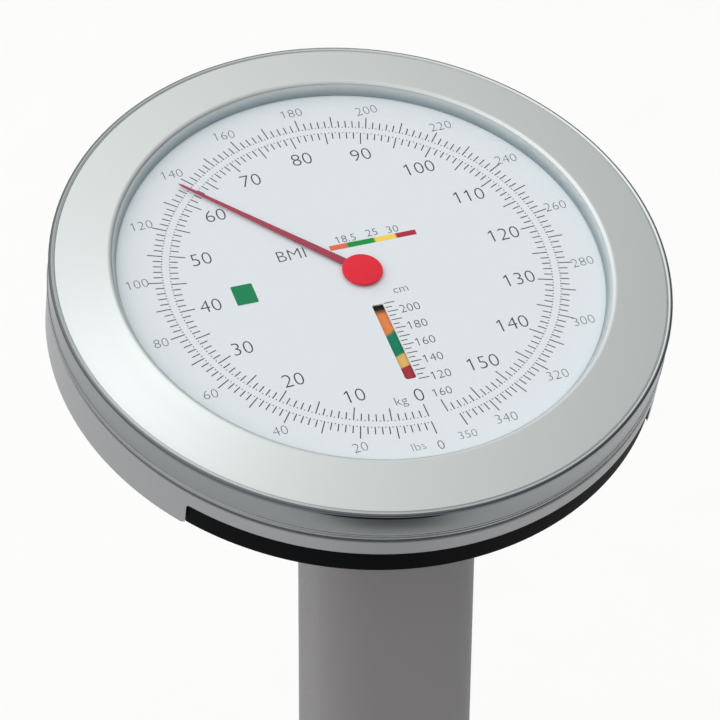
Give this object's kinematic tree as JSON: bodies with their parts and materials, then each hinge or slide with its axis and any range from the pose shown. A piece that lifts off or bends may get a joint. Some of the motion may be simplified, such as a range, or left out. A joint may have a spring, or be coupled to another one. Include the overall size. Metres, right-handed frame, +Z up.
{
  "type": "mechanical column scale",
  "caption": "Mechanical column scale: a tilted round dial head on an oval column, over a low lever base with a ribbed weighing platform and transport castors.",
  "frame": {"origin": "on the floor under the middle of the bounding box", "axes": "+Z up; the user stands at -Y on the platform and faces +Y to the column; +X to the user's right"},
  "size_m": [0.346, 0.5858, 0.983],
  "materials": {
    "satin_steel": "satin stainless",
    "grey_painted_steel": "metallic grey lacquer",
    "black_plastic": "semi-gloss",
    "clear_glass": "clear",
    "white_dial": "matt white, printed",
    "grey_spacer": "satin",
    "red_pointer": "satin",
    "coloured_disc": "matt, printed zones",
    "black_rubber": "matt",
    "zinc_plated_steel": "zinc plated",
    "brass": "machined",
    "cast_aluminium": "as cast",
    "grey_column_paint": "satin paint",
    "grey_base_paint": "satin paint",
    "grey_moulding": "fine texture",
    "painted_cast_iron": "painted",
    "grey_wheel_plastic": "moulded"
  },
  "bodies": {
    "frame": {"bezel_ring": "satin_steel", "dial_glass": "clear_glass", "glass_gasket": "black_rubber", "spacer_ring": "grey_spacer", "dial_face": "white_dial", "carrier_plate": "cast_aluminium", "arbor_bush": "brass", "arbor_bridge": "zinc_plated_steel", "rack_guide": "brass", "housing_ring": "grey_painted_steel", "rear_cover": "black_plastic", "crank_pin": "zinc_plated_steel", "spring_anchor": "zinc_plated_steel", "head_bracket": "cast_aluminium", "head_screw_upper": "zinc_plated_steel", "head_screw_lower": "zinc_plated_steel", "column_tube": "grey_column_paint", "column_flange": "cast_aluminium", "column_cover": "grey_moulding", "base_frame": "grey_base_paint", "flange_bolt_0": "zinc_plated_steel", "flange_bolt_1": "zinc_plated_steel", "flange_bolt_2": "zinc_plated_steel", "flange_bolt_3": "zinc_plated_steel", "foot_front_left": "black_rubber", "fulcrum_stand_front_left": "painted_cast_iron", "foot_front_right": "black_rubber", "fulcrum_stand_front_right": "painted_cast_iron", "foot_rear_left": "black_rubber", "fulcrum_stand_rear_left": "painted_cast_iron", "foot_rear_right": "black_rubber", "fulcrum_stand_rear_right": "painted_cast_iron", "castor_fork_left": "zinc_plated_steel", "castor_axle_left": "zinc_plated_steel", "castor_fork_right": "zinc_plated_steel", "castor_axle_right": "zinc_plated_steel"},
    "pointer": {"pointer": "red_pointer", "pointer_arbor": "zinc_plated_steel", "pinion": "brass", "bmi_disc": "coloured_disc"},
    "rack": {"rack": "brass"},
    "bell_crank": {"bell_crank": "zinc_plated_steel"},
    "draw_rod": {"draw_rod": "zinc_plated_steel", "rod_nut": "zinc_plated_steel", "spring_plug": "zinc_plated_steel", "load_spring": "zinc_plated_steel"},
    "long_lever": {"long_lever": "painted_cast_iron", "link_block": "zinc_plated_steel"},
    "short_lever": {"short_lever": "painted_cast_iron"},
    "platform": {"platform_tray": "grey_base_paint", "platform_mat": "black_rubber", "platform_stud_front_left": "painted_cast_iron", "platform_stud_front_right": "painted_cast_iron", "platform_stud_rear_left": "painted_cast_iron", "platform_stud_rear_right": "painted_cast_iron"},
    "castor_left": {"castor_wheel_left": "grey_wheel_plastic", "castor_tyre_left": "black_rubber"},
    "castor_right": {"castor_wheel_right": "grey_wheel_plastic", "castor_tyre_right": "black_rubber"},
    "zero_knob": {"zero_knob": "black_plastic"}
  },
  "joints": [
    {"name": "pointer_turn", "type": "hinge", "parent": "frame", "child": "pointer", "pos_m": [0, 0.14608, 0.943], "axis": [0, 0.2706, -0.9627], "range_deg": [-137.86, 216.16]},
    {"name": "rack_slide", "type": "slide", "parent": "frame", "child": "rack", "axis": [0, 0.9627, 0.2706], "range_m": [-0.01586, 0.01012]},
    {"name": "bell_crank_turn", "type": "hinge", "parent": "frame", "child": "bell_crank", "pos_m": [0, 0.13008, 0.87462], "axis": [1, 0, 0], "range_deg": [-11.6, 18.17]},
    {"name": "draw_rod_slide", "type": "slide", "parent": "frame", "child": "draw_rod", "axis": [0, 0, 1], "range_m": [-0.00762, 0.00486], "deforming": ["load_spring"]},
    {"name": "long_lever_turn", "type": "hinge", "parent": "frame", "child": "long_lever", "pos_m": [0, -0.26792, 0.038], "axis": [1, 0, 0], "range_deg": [-1.17, 0.75]},
    {"name": "short_lever_turn", "type": "hinge", "parent": "frame", "child": "short_lever", "pos_m": [0, 0.04208, 0.057], "axis": [1, 0, 0], "range_deg": [-0.75, 1.17]},
    {"name": "platform_sink", "type": "slide", "parent": "frame", "child": "platform", "axis": [0, 0, 1], "range_m": [-0.00102, 0.00065], "stiffness_N_per_m": 942800, "springref_m": 0.00011},
    {"name": "castor_left_turn", "type": "hinge", "parent": "frame", "child": "castor_left", "pos_m": [-0.1, 0.22988, 0.032], "axis": [1, 0, 0], "continuous": true},
    {"name": "castor_right_turn", "type": "hinge", "parent": "frame", "child": "castor_right", "pos_m": [0.1, 0.22988, 0.032], "axis": [1, 0, 0], "continuous": true},
    {"name": "zero_knob_turn", "type": "hinge", "parent": "frame", "child": "zero_knob", "pos_m": [-0.07967, 0.11365, 0.88839], "axis": [0, -0.2706, 0.9627], "range_deg": [-180, 180]}
  ],
  "couplings": [
    {"joint": "pointer_turn", "follows": "platform_sink", "rad_per_m": -3710.3},
    {"joint": "rack_slide", "follows": "platform_sink", "ratio": 15.583},
    {"joint": "bell_crank_turn", "follows": "platform_sink", "rad_per_m": -311.67},
    {"joint": "draw_rod_slide", "follows": "platform_sink", "ratio": 7.48},
    {"joint": "long_lever_turn", "follows": "platform_sink", "rad_per_m": 20},
    {"joint": "short_lever_turn", "follows": "platform_sink", "rad_per_m": -20}
  ]
}
